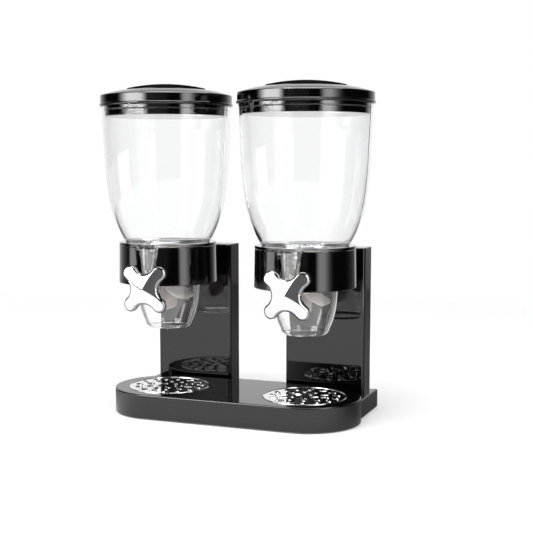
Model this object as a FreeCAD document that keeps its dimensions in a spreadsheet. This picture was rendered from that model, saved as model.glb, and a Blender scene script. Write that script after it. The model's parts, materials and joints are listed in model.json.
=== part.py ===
import FreeCAD, Part
import math
import operator
import os
import Sketcher

# Twin gravity dispenser for dry food. Two clear canisters stand on clear hoppers that hang in
# two collars of a black stand. A knob in front of each hopper turns a soft paddle wheel that
# lets one portion at a time fall towards the crumb tray in the base.
#
# Millimetres. +Z is up, -Y is the front, the rear face is at +Y. The origin lies on the surface
# that the feet stand on, under the middle of the whole dispenser.

doc = FreeCAD.newDocument("BulkFoodBin")
sheet = doc.addObject("Spreadsheet::Sheet", "Sizes")

DRIVING_SIZES = {
    # stand
    "station_spacing": 175.0,
    "rear_reach": 101.0,
    "foot_lift": 1.5,
    "foot_radius": 8.0,
    "foot_plug_radius": 3.0,
    "foot_edge_round": 0.7,
    "foot_front_inset": 24.0,
    "foot_rear_inset": 20.0,
    "base_rise": 28.3,
    "base_end_radius": 62.2,
    "base_end_spacing": 183.0,
    "base_wall": 2.6,
    "base_edge_round": 1.6,
    "block_rise": 21.4,
    "block_inset": 5.7,
    "plate_thickness": 2.0,
    "plate_recess": 0.6,
    "plate_clearance": 0.3,
    "boss_radius": 4.0,
    "boss_inset": 3.0,
    # crumb tray and its well
    "tray_margin": 13.2,
    "tray_thickness": 1.4,
    "tray_edge_round": 0.5,
    "tray_clearance": 0.7,
    "tray_ledge": 2.8,
    "tray_lip_length": 10.4,
    "tray_lip_width": 5.2,
    "tray_lip_rise": 0.9,
    "tray_lip_bevel": 0.6,
    "tray_slot_inset": 1.0,
    "tray_border": 11.2,
    "well_drop": 9.0,
    # columns
    "column_width": 101.0,
    "column_depth": 28.0,
    "column_wall": 2.6,
    "column_corner": 3.5,
    "column_drop": 3.9,
    "column_edge_round": 1.2,
    "column_boss_length": 16.0,
    "cover_thickness": 2.4,
    "cover_recess": 2.3,
    "cover_clearance": 0.2,
    # collars
    "shaft_level": 155.0,
    "collar_above_shaft": 3.3,
    "collar_rise": 44.7,
    "collar_radius": 58.2,
    "collar_wall": 3.0,
    "collar_draft": 0.7,
    "collar_edge_round": 0.8,
    "collar_floor": 2.4,
    "collar_floor_gap": 1.8,
    "neck_width": 62.0,
    "neck_wall": 3.0,
    "notch_clearance": 1.5,
    # hoppers
    "rest_gap": 0.1,
    "flange_thickness": 3.4,
    "hopper_wall": 2.6,
    "hopper_sink": 1.5,
    "ledge_depth": 19.0,
    "funnel_gap": 0.8,
    "throat_clearance": 0.1,
    "bowl_radius": 38.4,
    "bowl_top_rise": 8.0,
    "bowl_shoulder_radius": 36.6,
    "bowl_shoulder_drop": 14.0,
    "bowl_curve_radius": 91.6,
    "bowl_heel_radius": 28.2,
    "bowl_heel_drop": 45.5,
    "bowl_depth": 51.0,
    "bowl_lip_round": 8.0,
    "bowl_lip_width": 1.0,
    "outlet_radius": 23.6,
    "nose_reach": 57.6,
    "nose_top_width": 27.0,
    "nose_bottom_width": 14.4,
    "nose_wall": 2.2,
    "nose_drop": 9.0,
    # drive
    "shaft_radius": 3.5,
    "shaft_flat": 2.8,
    "shaft_fit": 0.06,
    "shaft_end_gap": 0.3,
    "bush_wall": 1.8,
    "bush_fit": 0.05,
    "bush_length": 13.0,
    "bush_flange": 0.8,
    "drive_fit": 0.04,
    "bearing_wall": 2.6,
    "bearing_length": 9.0,
    "bearing_bore_depth": 7.0,
    "hub_radius": 8.0,
    "hub_length": 55.0,
    "vane_reach": 30.5,
    "vane_length": 46.0,
    "vane_thickness": 1.8,
    "vane_corner": 10.0,
    "knob_gap": 1.5,
    "knob_thickness": 11.5,
    "knob_lobe_place": 26.0,
    "knob_lobe_radius": 8.6,
    "knob_waist": 17.4,
    "knob_facet_drop": 8.4,
    "knob_edge_round": 2.0,
    "knob_ridge_round": 5.0,
    "knob_socket_depth": 7.5,
    # canisters
    "canister_wall": 2.5,
    "neck_radius": 37.6,
    "neck_rise": 4.7,
    "knee_radius": 41.6,
    "knee_rise": 6.9,
    "knee_curve_radius": 8.0,
    "heel_radius": 52.6,
    "heel_rise": 11.0,
    "heel_curve_radius": 30.0,
    "waist_radius": 68.8,
    "waist_rise": 45.0,
    "waist_curve_radius": 138.0,
    "shoulder_radius": 73.6,
    "shoulder_rise": 48.0,
    "shoulder_curve_radius": 400.0,
    "rim_radius": 76.5,
    "rim_rise": 66.5,
    # lids
    "lid_radius": 79.0,
    "lid_wall": 2.1,
    "lid_skirt_drop": 3.8,
    "lid_bead_height": 3.4,
    "lid_bead_width": 1.0,
    "lid_band_top": 9.3,
    "lid_band_round": 1.3,
    "dome_curve_radius": 100.0,
    "disc_radius": 46.5,
    "disc_foot_rise": 15.6,
    "disc_wall_rise": 1.1,
    "disc_edge_round": 1.0,
    "lid_rise": 22.6,
    "plug_drop": 15.3,
    "plug_flange": 1.8,
    "plug_flange_gap": 0.2,
    "plug_wall": 2.0,
    "plug_clearance": 0.6,
    "plug_floor": 1.8,
    "seal_depth": 7.9,
    "seal_width": 1.6,
    "seal_bite": 1.2,
    "seal_clearance": 0.3,
    # screws
    "screw_radius": 1.4,
    "screw_head_radius": 2.9,
    "screw_head_height": 1.9,
    "screw_length": 9.0,
    "screw_slot_width": 0.7,
    "screw_slot_length": 3.5,
    "screw_tip_radius": 0.5,
    "screw_hole_fit": 0.1,
}

VANE_COUNT = 6
LOBE_COUNT = 4
TRAY_CENTRE_SLOTS = 5
TRAY_RINGS = 3
SLOT_SLANT_DEGREES = 35.0
KNOB_TWIST_DEGREES = 30.0
NEAR_ENOUGH = 0.01
SIDES = {"left": -1, "right": 1}


class Size:
    """A length that knows its value and the sheet expression that the value comes from."""

    def __init__(self, number, text=None):
        self.number = float(number)
        self.text = text or repr(float(number))

    def __add__(self, other):
        return joined(self, "+", other)

    def __radd__(self, other):
        return joined(other, "+", self)

    def __sub__(self, other):
        return joined(self, "-", other)

    def __rsub__(self, other):
        return joined(other, "-", self)

    def __mul__(self, other):
        return joined(self, "*", other)

    def __rmul__(self, other):
        return joined(other, "*", self)

    def __truediv__(self, other):
        return joined(self, "/", other)

    def __neg__(self):
        return joined(0, "-", self)


OPERATIONS = {"+": operator.add, "-": operator.sub, "*": operator.mul, "/": operator.truediv}


def as_size(value):
    return value if isinstance(value, Size) else Size(value)


def joined(left, sign, right):
    left = as_size(left)
    right = as_size(right)
    number = OPERATIONS[sign](left.number, right.number)
    return Size(number, f"({left.text} {sign} {right.text})")


def root(value):
    return Size(math.sqrt(value.number), f"sqrt({value.text})")


def fill_sheet():
    """Write every driving size into the sheet and return them as Size objects by name."""
    for row, (name, value) in enumerate(DRIVING_SIZES.items(), start=1):
        sheet.set(f"A{row}", name)
        sheet.set(f"B{row}", str(value))
        sheet.setAlias(f"B{row}", name)
    doc.recompute()
    return {name: Size(sheet.get(name), f"Sizes.{name}") for name in DRIVING_SIZES}


class Sizes:
    """The sheet's sizes as attributes."""

    def __init__(self, by_name):
        self.__dict__.update(by_name)


dims = Sizes(fill_sheet())

# Levels above the floor, each built on the one below it.
BASE_TOP = dims.foot_lift + dims.base_rise
BLOCK_TOP = dims.foot_lift + dims.block_rise
COLLAR_BOTTOM = dims.shaft_level + dims.collar_above_shaft
COLLAR_TOP = COLLAR_BOTTOM + dims.collar_rise
COLUMN_TOP = COLLAR_TOP - dims.column_drop
FLANGE_BOTTOM = COLLAR_TOP + dims.rest_gap
FLANGE_TOP = FLANGE_BOTTOM + dims.flange_thickness
LEDGE_LEVEL = FLANGE_TOP - dims.ledge_depth
NECK_SEAT = LEDGE_LEVEL + dims.rest_gap
NECK_LEVEL = NECK_SEAT + dims.neck_rise
KNEE_LEVEL = NECK_LEVEL + dims.knee_rise
HEEL_LEVEL = KNEE_LEVEL + dims.heel_rise
WAIST_LEVEL = HEEL_LEVEL + dims.waist_rise
SHOULDER_LEVEL = WAIST_LEVEL + dims.shoulder_rise
CANISTER_TOP = SHOULDER_LEVEL + dims.rim_rise
LID_LEVEL = CANISTER_TOP + dims.rest_gap

# The overall depth runs from the lids' front to the rear face, and the origin halves it.
AXIS_Y = (dims.lid_radius - dims.rear_reach) / 2
COLUMN_FRONT = dims.rear_reach - dims.column_depth
HALF_SPACING = dims.station_spacing / 2
TRAY_RADIUS = dims.base_end_radius - dims.tray_margin
BLOCK_HALF = dims.base_end_spacing / 2 + dims.base_end_radius - dims.block_inset

# The hopper's funnel opens just wide enough at its flange for the canister's heel, whose arc
# bulges out beyond the straight line from its knee by half a half-chord squared over its radius.
HEEL_SPREAD = (dims.heel_radius - dims.knee_radius) / 2
HEEL_HALF_RISE = dims.heel_rise / 2
HEEL_BULGE = (HEEL_SPREAD * HEEL_SPREAD + HEEL_HALF_RISE * HEEL_HALF_RISE) / (
    dims.heel_curve_radius * 2)
FLANGE_BORE = (dims.knee_radius + HEEL_SPREAD * (FLANGE_TOP - KNEE_LEVEL) / HEEL_HALF_RISE
               + HEEL_BULGE + dims.funnel_gap)
THROAT_RADIUS = dims.neck_radius - dims.canister_wall + dims.throat_clearance

# The canister's mouth narrows a little towards its shoulder, and the lid's plug follows that.
RIM_TAPER = (dims.rim_radius - dims.shoulder_radius) / dims.rim_rise
RIM_BORE = dims.rim_radius - dims.canister_wall
PLUG_RADIUS = RIM_BORE - RIM_TAPER * dims.plug_drop - dims.plug_clearance
SEAL_RADIUS = RIM_BORE - RIM_TAPER * dims.seal_depth - dims.seal_clearance

# The shaft runs in a bush in the hopper's nose and in a blind bearing at the bowl's back.
BUSH_RADIUS = dims.shaft_radius + dims.shaft_fit + dims.bush_wall
BEARING_BORE = dims.shaft_radius + dims.shaft_fit
BEARING_REAR = dims.bowl_radius - dims.hopper_wall / 2
BEARING_MOUTH = BEARING_REAR - dims.bearing_length
KNOB_BACK = dims.nose_reach + dims.knob_gap
SCREW_HOLE_RADIUS = dims.screw_radius + dims.screw_hole_fit
COVER_DEPTH = dims.cover_recess + dims.cover_thickness


# ---------------------------------------------------------------- modelling helpers

def bind(thing, prop, size):
    thing.setExpression(prop, as_size(size).text)


def new_body(label, x=0, y=0, z=0):
    """Start a sub-part whose own origin lies at (x, y, z)."""
    body = doc.addObject("PartDesign::Body", label)
    body.Label = label
    bind(body, "Placement.Base.x", x)
    bind(body, "Placement.Base.y", y)
    bind(body, "Placement.Base.z", z)
    return body


def origin_feature(body, role):
    return next(item for item in body.Origin.OriginFeatures if item.Role == role)


def new_sketch(body, plane, name, height=0, turn=None):
    """Attach a sketch to one of the body's own origin planes, raised along its normal."""
    sketch = body.newObject("Sketcher::SketchObject", f"{body.Label}_{name}")
    sketch.AttachmentSupport = (origin_feature(body, plane), [""])
    sketch.MapMode = "FlatFace"
    if turn:
        sketch.AttachmentOffset = FreeCAD.Placement(FreeCAD.Vector(), turn)
    bind(sketch, "AttachmentOffset.Base.z", height)
    return sketch


def constrain(sketch, kind, places, size):
    index = sketch.addConstraint(Sketcher.Constraint(kind, *places, size.number))
    sketch.setExpression(f"Constraints[{index}]", size.text)


def fix_point(sketch, edge, end, across, up):
    constrain(sketch, "DistanceX", (-1, 1, edge, end), across)
    constrain(sketch, "DistanceY", (-1, 1, edge, end), up)


def add_arc(sketch, start, finish, radius, centre_side):
    """Add the short arc between two points. Returns its edge and its first and last ends."""
    chord = finish - start
    reach = math.sqrt(max(radius.number ** 2 - chord.Length ** 2 / 4, 0))
    sideways = FreeCAD.Vector(-chord.y, chord.x, 0).normalize()
    turn = 1 if centre_side == "left" else -1
    centre = (start + finish) / 2 + sideways * reach * turn
    circle = Part.Circle(centre, FreeCAD.Vector(0, 0, 1), radius.number)
    angles = [math.atan2(point.y - centre.y, point.x - centre.x) for point in (start, finish)]
    if turn > 0:
        edge = sketch.addGeometry(Part.ArcOfCircle(circle, angles[0], angles[1]))
        ends = (1, 2)
    else:
        edge = sketch.addGeometry(Part.ArcOfCircle(circle, angles[1], angles[0]))
        ends = (2, 1)
    constrain(sketch, "Radius", (edge,), radius)
    return edge, ends


def outline(sketch, corners):
    """Draw a closed outline through the corners.

    A corner is (across, up) at the end of a straight edge, or (across, up, radius, side) at
    the end of an arc whose centre lies to the left or right of the way it is drawn.
    """
    corners = [tuple(as_size(value) if index < 3 else value for index, value in enumerate(corner))
               for corner in corners]
    points = [FreeCAD.Vector(corner[0].number, corner[1].number, 0) for corner in corners]
    edges = []
    for index, corner in enumerate(corners):
        start = points[index - 1]
        if len(corner) == 2:
            edge = sketch.addGeometry(Part.LineSegment(start, points[index]))
            edges.append((edge, (1, 2)))
        else:
            edges.append(add_arc(sketch, start, points[index], corner[2], corner[3]))
    for index, (edge, ends) in enumerate(edges):
        following, following_ends = edges[(index + 1) % len(edges)]
        joint = Sketcher.Constraint("Coincident", edge, ends[1], following, following_ends[0])
        sketch.addConstraint(joint)
        fix_point(sketch, edge, ends[1], corners[index][0], corners[index][1])


def circle(sketch, across, up, radius):
    across = as_size(across)
    up = as_size(up)
    radius = as_size(radius)
    middle = FreeCAD.Vector(across.number, up.number, 0)
    edge = sketch.addGeometry(Part.Circle(middle, FreeCAD.Vector(0, 0, 1), radius.number))
    constrain(sketch, "Radius", (edge,), radius)
    fix_point(sketch, edge, 3, across, up)


def rectangle(sketch, left, right, bottom, top):
    outline(sketch, [(left, bottom), (right, bottom), (right, top), (left, top)])


def rounded_box(sketch, half_width, front, rear, radius):
    """A rectangle whose two front corners are rounded."""
    outline(sketch, [
        (half_width, rear),
        (-half_width, rear),
        (-half_width, front + radius),
        (radius - half_width, front, radius, "left"),
        (half_width - radius, front),
        (half_width, front + radius, radius, "left"),
    ])


def stadium(sketch, centre_offset, radius):
    """A slot outline along X with round ends, each drawn as two quarter circles."""
    outline(sketch, [
        (centre_offset, -radius),
        (centre_offset + radius, 0, radius, "left"),
        (centre_offset, radius, radius, "left"),
        (-centre_offset, radius),
        (-centre_offset - radius, 0, radius, "left"),
        (-centre_offset, -radius, radius, "left"),
    ])


def extrusion(body, kind, sketch, length=None, toward=1, symmetric=False):
    feature = body.newObject(f"PartDesign::{kind}", f"{sketch.Name}_{kind}")
    feature.Profile = sketch
    if length is None:
        feature.Type = "ThroughAll"
    else:
        bind(feature, "Length", length)
    feature.Reversed = toward < 0
    if symmetric:
        feature.SideType = "Symmetric"
    return feature


def pad(body, sketch, length, toward=1, symmetric=False):
    return extrusion(body, "Pad", sketch, length, toward, symmetric)


def pocket(body, sketch, depth=None, toward=1, symmetric=False):
    """Cut along the sketch's normal; toward 1 cuts against it, as a pocket does by itself."""
    return extrusion(body, "Pocket", sketch, depth, toward, symmetric)


def turned(body, kind, sketch):
    feature = body.newObject(f"PartDesign::{kind}", f"{sketch.Name}_{kind}")
    feature.Profile = sketch
    feature.ReferenceAxis = (sketch, ["V_Axis"])
    feature.Angle = 360
    return feature


def turned_body(label, plane, corners, x=0, y=0, z=0):
    """A sub-part that is one turned section."""
    body = new_body(label, x, y, z)
    section = new_sketch(body, plane, "section")
    outline(section, corners)
    turned(body, "Revolution", section)
    return body


def round_pattern(body, feature, axis, count):
    pattern = body.newObject("PartDesign::PolarPattern", f"{feature.Name}_pattern")
    pattern.Originals = [feature]
    pattern.Axis = (origin_feature(body, axis), [""])
    pattern.Angle = 360
    pattern.Occurrences = count
    body.Tip = pattern
    return pattern


def dress_edges(body, kind, feature, wanted):
    doc.recompute()
    names = [f"Edge{number}" for number, edge in enumerate(feature.Shape.Edges, start=1)
             if wanted(edge)]
    dressed = body.newObject(f"PartDesign::{kind}", f"{feature.Name}_{kind}")
    dressed.Base = (feature, names)
    return dressed


def soften(body, feature, radius, wanted):
    """Round every edge of the feature that the test accepts."""
    fillet = dress_edges(body, "Fillet", feature, wanted)
    bind(fillet, "Radius", radius)
    return fillet


def bevel(body, feature, width, wanted):
    """Chamfer every edge of the feature that the test accepts."""
    chamfer = dress_edges(body, "Chamfer", feature, wanted)
    bind(chamfer, "Size", width)
    return chamfer


def near(value, size):
    return abs(value - as_size(size).number) < NEAR_ENOUGH


def level_edge(edge, height):
    box = edge.BoundBox
    return near(box.ZMin, height) and near(box.ZMax, height)


def screw(position, direction):
    """A pan-head screw whose head sits at the position and whose shank follows direction."""
    head_radius = dims.screw_head_radius.number
    head_height = dims.screw_head_height.number
    slot_width = dims.screw_slot_width.number
    slot_length = dims.screw_slot_length.number
    shank_radius = dims.screw_radius.number
    tip_radius = dims.screw_tip_radius.number
    head = Part.makeCylinder(head_radius, head_height, position, -direction)
    rim = [edge for edge in head.Edges if edge.isClosed() and near(edge.Curve.Radius, head_radius)]
    top = max(rim, key=lambda edge: (edge.CenterOfMass - position).dot(-direction))
    head = head.makeFillet(head_height / 2, [top])
    shank = Part.makeCylinder(shank_radius, dims.screw_length.number, position, direction)
    tip_place = position + direction * dims.screw_length.number
    tip = Part.makeCone(shank_radius, tip_radius, shank_radius, tip_place, direction)
    solid = head.fuse(shank).fuse(tip).removeSplitter()
    for quarter in (0, 90):
        blade = Part.makeBox(slot_length, slot_width, head_height)
        blade.translate(FreeCAD.Vector(-slot_length / 2, -slot_width / 2, head_height / 2))
        blade.rotate(FreeCAD.Vector(), FreeCAD.Vector(0, 0, 1), quarter)
        blade.Placement = FreeCAD.Placement(
            position, FreeCAD.Rotation(FreeCAD.Vector(0, 0, 1), -direction)
        ).multiply(blade.Placement)
        solid = solid.cut(blade)
    return solid


def grouped(label, solids):
    """Identical small pieces in one sub-part, each its own solid."""
    group = doc.addObject("Part::Feature", label)
    group.Label = label
    group.Shape = Part.makeCompound(solids)
    return group


def vector(x, y, z):
    return FreeCAD.Vector(*(as_size(value).number for value in (x, y, z)))


# ---------------------------------------------------------------- base

def base_fixings():
    """Places of the base plate's screws: three along the front and three along the rear."""
    end = dims.base_end_spacing / 2
    inset = dims.base_wall + dims.boss_inset
    front = inset - dims.base_end_radius
    rear = dims.rear_reach - inset
    side = BLOCK_HALF - inset
    return [(-end, front), (0, front), (end, front), (-side, rear), (0, rear), (side, rear)]


def foot_places():
    """Places of the rubber feet, inside the corners of the base plate."""
    front_x = dims.base_end_spacing / 2
    front_y = dims.foot_front_inset - dims.base_end_radius
    rear_x = BLOCK_HALF - dims.foot_rear_inset
    rear_y = dims.rear_reach - dims.foot_rear_inset
    return [(-front_x, front_y), (front_x, front_y), (-rear_x, rear_y), (rear_x, rear_y)]


def column_screw_places(side):
    """Places, seen from above, of the two screws that hold a column to the base."""
    middle = HALF_SPACING * side
    spread = dims.column_width / 2 - dims.column_wall - dims.column_corner
    depth = COLUMN_FRONT + dims.column_depth / 2
    return [(middle - spread, depth), (middle + spread, depth)]


def make_base_shell():
    body = new_body("base_shell", 0, AXIS_Y, dims.foot_lift)
    end = dims.base_end_spacing / 2
    footprint = new_sketch(body, "XY_Plane", "footprint")
    stadium(footprint, end, dims.base_end_radius)
    pad(body, footprint, dims.base_rise)
    block = new_sketch(body, "XY_Plane", "block")
    rectangle(block, -BLOCK_HALF, BLOCK_HALF, 0, dims.rear_reach)
    raised = pad(body, block, dims.block_rise)
    rounded = soften(body, raised, dims.base_edge_round,
                     lambda edge: level_edge(edge, dims.base_rise))
    soften(body, rounded, dims.base_edge_round,
           lambda edge: level_edge(edge, dims.block_rise)
           and (near(abs(edge.CenterOfMass.x), BLOCK_HALF)
                or near(edge.CenterOfMass.y, dims.rear_reach)))

    hollow = new_sketch(body, "XY_Plane", "hollow")
    stadium(hollow, end, dims.base_end_radius - dims.base_wall)
    pocket(body, hollow, dims.base_rise - dims.base_wall, toward=-1)
    block_hollow = new_sketch(body, "XY_Plane", "block_hollow")
    inner_half = BLOCK_HALF - dims.base_wall
    rectangle(block_hollow, -inner_half, inner_half, 0, dims.rear_reach - dims.base_wall)
    pocket(body, block_hollow, dims.block_rise - dims.base_wall, toward=-1)

    add_wells(body)
    add_base_bosses(body)
    add_column_holes(body)
    return body


def add_wells(body):
    """Round wells under the crumb trays, with a ledge that carries each tray."""
    bore = TRAY_RADIUS + dims.tray_clearance
    floor_level = dims.base_rise - dims.well_drop - dims.base_wall
    cups = new_sketch(body, "XY_Plane", "cups", floor_level)
    ledges = new_sketch(body, "XY_Plane", "ledges", dims.base_rise)
    wells = new_sketch(body, "XY_Plane", "wells", dims.base_rise)
    for side in SIDES.values():
        circle(cups, HALF_SPACING * side, 0, bore + dims.base_wall)
        circle(ledges, HALF_SPACING * side, 0, bore)
        circle(wells, HALF_SPACING * side, 0, bore - dims.tray_ledge)
    pad(body, cups, dims.well_drop + dims.base_wall / 2)
    pocket(body, ledges, dims.tray_thickness + dims.rest_gap)
    pocket(body, wells, dims.well_drop)


def add_base_bosses(body):
    """Screw bosses that stand down from the roof of the base to the bottom plate."""
    lowest = dims.plate_recess + dims.plate_thickness
    roof = dims.block_rise - dims.base_wall / 2
    bosses = new_sketch(body, "XY_Plane", "bosses", lowest)
    holes = new_sketch(body, "XY_Plane", "boss_holes", lowest)
    for across, deep in base_fixings():
        circle(bosses, across, deep, dims.boss_radius)
        circle(holes, across, deep, SCREW_HOLE_RADIUS)
    pad(body, bosses, roof - lowest)
    pocket(body, holes, dims.screw_length, toward=-1)


def add_column_holes(body):
    """Clearance holes in the rear block's roof for the screws that hold the columns."""
    holes = new_sketch(body, "XY_Plane", "column_holes", dims.block_rise)
    for side in SIDES.values():
        for across, deep in column_screw_places(side):
            circle(holes, across, deep, SCREW_HOLE_RADIUS)
    pocket(body, holes, dims.base_wall * 2)


def make_base_plate():
    body = new_body("base_plate", 0, AXIS_Y, dims.foot_lift + dims.plate_recess)
    inset = dims.base_wall + dims.plate_clearance
    front = new_sketch(body, "XY_Plane", "front")
    stadium(front, dims.base_end_spacing / 2, dims.base_end_radius - inset)
    pad(body, front, dims.plate_thickness)
    rear = new_sketch(body, "XY_Plane", "rear")
    half = BLOCK_HALF - inset
    rectangle(rear, -half, half, 0, dims.rear_reach - inset)
    pad(body, rear, dims.plate_thickness)
    holes = new_sketch(body, "XY_Plane", "holes")
    for across, deep in base_fixings():
        circle(holes, across, deep, SCREW_HOLE_RADIUS)
    for across, deep in foot_places():
        circle(holes, across, deep, dims.foot_plug_radius + dims.screw_hole_fit)
    pocket(body, holes, toward=-1)
    return body


def make_feet():
    """Turned rubber feet, each with a plug that is pushed up through the base plate."""
    underside = dims.foot_lift + dims.plate_recess
    plug_top = underside + dims.plate_thickness
    feet = []
    for across, deep in foot_places():
        centre = vector(across, AXIS_Y + deep, 0)
        pad_solid = Part.makeCylinder(dims.foot_radius.number, underside.number, centre)
        lower = [edge for edge in pad_solid.Edges if level_edge(edge, 0)]
        pad_solid = pad_solid.makeFillet(dims.foot_edge_round.number, lower)
        plug = Part.makeCylinder(dims.foot_plug_radius.number, plug_top.number, centre)
        feet.append(pad_solid.fuse(plug).removeSplitter())
    return grouped("rubber_feet", feet)


def make_base_screws():
    underside = dims.foot_lift + dims.plate_recess
    up = FreeCAD.Vector(0, 0, 1)
    return grouped("base_screws", [
        screw(vector(across, AXIS_Y + deep, underside), up) for across, deep in base_fixings()
    ])


# ---------------------------------------------------------------- crumb tray

def make_tray(name, side):
    """A polished plate that lies on the ledge of its well, with slots in raised round lips."""
    level = BASE_TOP - dims.tray_thickness
    body = new_body(f"{name}_crumb_tray", HALF_SPACING * side, AXIS_Y, level)
    disc = new_sketch(body, "XY_Plane", "disc")
    circle(disc, 0, 0, TRAY_RADIUS)
    plate = pad(body, disc, dims.tray_thickness)
    soften(body, plate, dims.tray_edge_round,
           lambda edge: level_edge(edge, dims.tray_thickness))

    half = dims.tray_thickness / 2
    for ring in range(TRAY_RINGS):
        lip = new_sketch(body, "XY_Plane", f"lip_{ring}", half)
        slot_outline(lip, ring, Size(0))
        raised = pad(body, lip, half + dims.tray_lip_rise)
        raised = round_pattern(body, raised, "Z_Axis", TRAY_CENTRE_SLOTS * (ring + 1))
    bevel(body, raised, dims.tray_lip_bevel,
          lambda edge: level_edge(edge, dims.tray_thickness + dims.tray_lip_rise))

    for ring in range(TRAY_RINGS):
        slot = new_sketch(body, "XY_Plane", f"slot_{ring}")
        slot_outline(slot, ring, dims.tray_slot_inset)
        opening = pocket(body, slot, toward=-1)
        round_pattern(body, opening, "Z_Axis", TRAY_CENTRE_SLOTS * (ring + 1))
    return body


def slot_outline(sketch, ring, inset):
    """A round-ended slot of one ring, slanted on the spot and drawn inside its lip by inset."""
    distance = (TRAY_RADIUS - dims.tray_border) / TRAY_RINGS * (ring + 1)
    tilt = FreeCAD.Rotation(FreeCAD.Vector(0, 0, 1), SLOT_SLANT_DEGREES * (1 - ring))
    half = (dims.tray_lip_length - dims.tray_lip_width) / 2
    radius = dims.tray_lip_width / 2 - inset
    along = tilt.multVec(FreeCAD.Vector(1, 0, 0))
    beside = tilt.multVec(FreeCAD.Vector(0, 1, 0))

    def place(forward, sideways):
        across = distance + forward * along.x + sideways * beside.x
        up = forward * along.y + sideways * beside.y
        return across, up

    outline(sketch, [
        place(half, -radius),
        place(half + radius, 0) + (radius, "left"),
        place(half, radius) + (radius, "left"),
        place(-half, radius),
        place(-half - radius, 0) + (radius, "left"),
        place(-half, -radius) + (radius, "left"),
    ])


# ---------------------------------------------------------------- columns

def make_column(name, side):
    """A tall moulded shell, open at the back, that stands on the rear block."""
    body = new_body(f"{name}_column", HALF_SPACING * side, AXIS_Y + dims.rear_reach, BLOCK_TOP)
    rise = COLUMN_TOP - BLOCK_TOP
    half = dims.column_width / 2
    plan = new_sketch(body, "XY_Plane", "plan")
    rounded_box(plan, half, -dims.column_depth, 0, dims.column_corner)
    post = pad(body, plan, rise)
    soften(body, post, dims.column_edge_round,
           lambda edge: level_edge(edge, rise) and not near(edge.CenterOfMass.y, 0))

    hollow = new_sketch(body, "XY_Plane", "hollow")
    rounded_box(hollow, half - dims.column_wall, dims.column_wall - dims.column_depth, 0,
                dims.column_corner - dims.column_wall)
    pocket(body, hollow, rise - dims.column_wall, toward=-1)

    bosses = new_sketch(body, "XY_Plane", "foot_bosses")
    holes = new_sketch(body, "XY_Plane", "foot_holes")
    spread = half - dims.column_wall - dims.column_corner
    for across in (-spread, spread):
        rectangle(bosses, across - dims.boss_radius, across + dims.boss_radius,
                  dims.column_wall / 2 - dims.column_depth, dims.boss_radius - dims.column_depth / 2)
        circle(holes, across, -dims.column_depth / 2, SCREW_HOLE_RADIUS)
    pad(body, bosses, dims.column_boss_length)
    pocket(body, holes, dims.screw_length, toward=-1)

    cover_bosses = new_sketch(body, "XZ_Plane", "cover_bosses", COVER_DEPTH)
    cover_holes = new_sketch(body, "XZ_Plane", "cover_holes")
    for across, up in cover_screw_places():
        circle(cover_bosses, across, up, dims.boss_radius)
        circle(cover_holes, across, up, SCREW_HOLE_RADIUS)
    pad(body, cover_bosses, dims.column_depth - COVER_DEPTH - dims.column_wall / 2)
    pocket(body, cover_holes, COVER_DEPTH + dims.screw_length, toward=-1)

    arm_holes = new_sketch(body, "XZ_Plane", "arm_holes", dims.column_depth - dims.column_wall * 2)
    for across, up in arm_screw_places():
        circle(arm_holes, across, up - BLOCK_TOP, SCREW_HOLE_RADIUS)
    pocket(body, arm_holes, dims.column_wall * 3, toward=-1)
    return body


def cover_screw_places():
    """Places on the column's back, from its foot, of the screws that hold the rear cover."""
    rise = COLUMN_TOP - BLOCK_TOP
    margin = dims.column_wall + dims.boss_inset
    across = dims.column_width / 2 - margin
    low = dims.column_boss_length + dims.boss_radius * 2
    high = rise - margin
    return [(-across, low), (across, low), (-across, high), (across, high)]


def arm_screw_places():
    """Places, seen from behind, of the screws that hold the collar's neck to the column."""
    across = dims.neck_width / 2 - dims.neck_wall - dims.boss_inset
    middle = (COLLAR_BOTTOM + COLUMN_TOP) / 2
    return [(-across, middle), (across, middle)]


def make_column_cover(name, side):
    """The flat cover that closes the column's back."""
    back = AXIS_Y + dims.rear_reach - dims.cover_recess
    body = new_body(f"{name}_column_cover", HALF_SPACING * side, back, BLOCK_TOP)
    half = dims.column_width / 2 - dims.column_wall - dims.cover_clearance
    top = COLUMN_TOP - BLOCK_TOP - dims.column_wall - dims.cover_clearance
    face = new_sketch(body, "XZ_Plane", "face")
    rectangle(face, -half, half, dims.cover_clearance, top)
    pad(body, face, dims.cover_thickness)
    holes = new_sketch(body, "XZ_Plane", "holes")
    for across, up in cover_screw_places():
        circle(holes, across, up, SCREW_HOLE_RADIUS)
    pocket(body, holes, toward=-1)
    return body


def make_cover_screws(name, side):
    forward = FreeCAD.Vector(0, -1, 0)
    back = AXIS_Y + dims.rear_reach - dims.cover_recess
    return grouped(f"{name}_cover_screws", [
        screw(vector(HALF_SPACING * side + across, back, BLOCK_TOP + up), forward)
        for across, up in cover_screw_places()
    ])


def make_column_screws(name, side):
    """Screws that come up through the rear block's roof into the column's foot."""
    up = FreeCAD.Vector(0, 0, 1)
    return grouped(f"{name}_column_screws", [
        screw(vector(across, AXIS_Y + deep, BLOCK_TOP - dims.base_wall), up)
        for across, deep in column_screw_places(side)
    ])


# ---------------------------------------------------------------- collar

def nose_half_width(level):
    """Half the width of the hopper's nose at a level, which the collar's notch follows."""
    bottom = dims.shaft_level - dims.nose_drop
    slope = (dims.nose_top_width - dims.nose_bottom_width) / (COLLAR_TOP - bottom) / 2
    return dims.nose_bottom_width / 2 + slope * (level - bottom)


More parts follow.
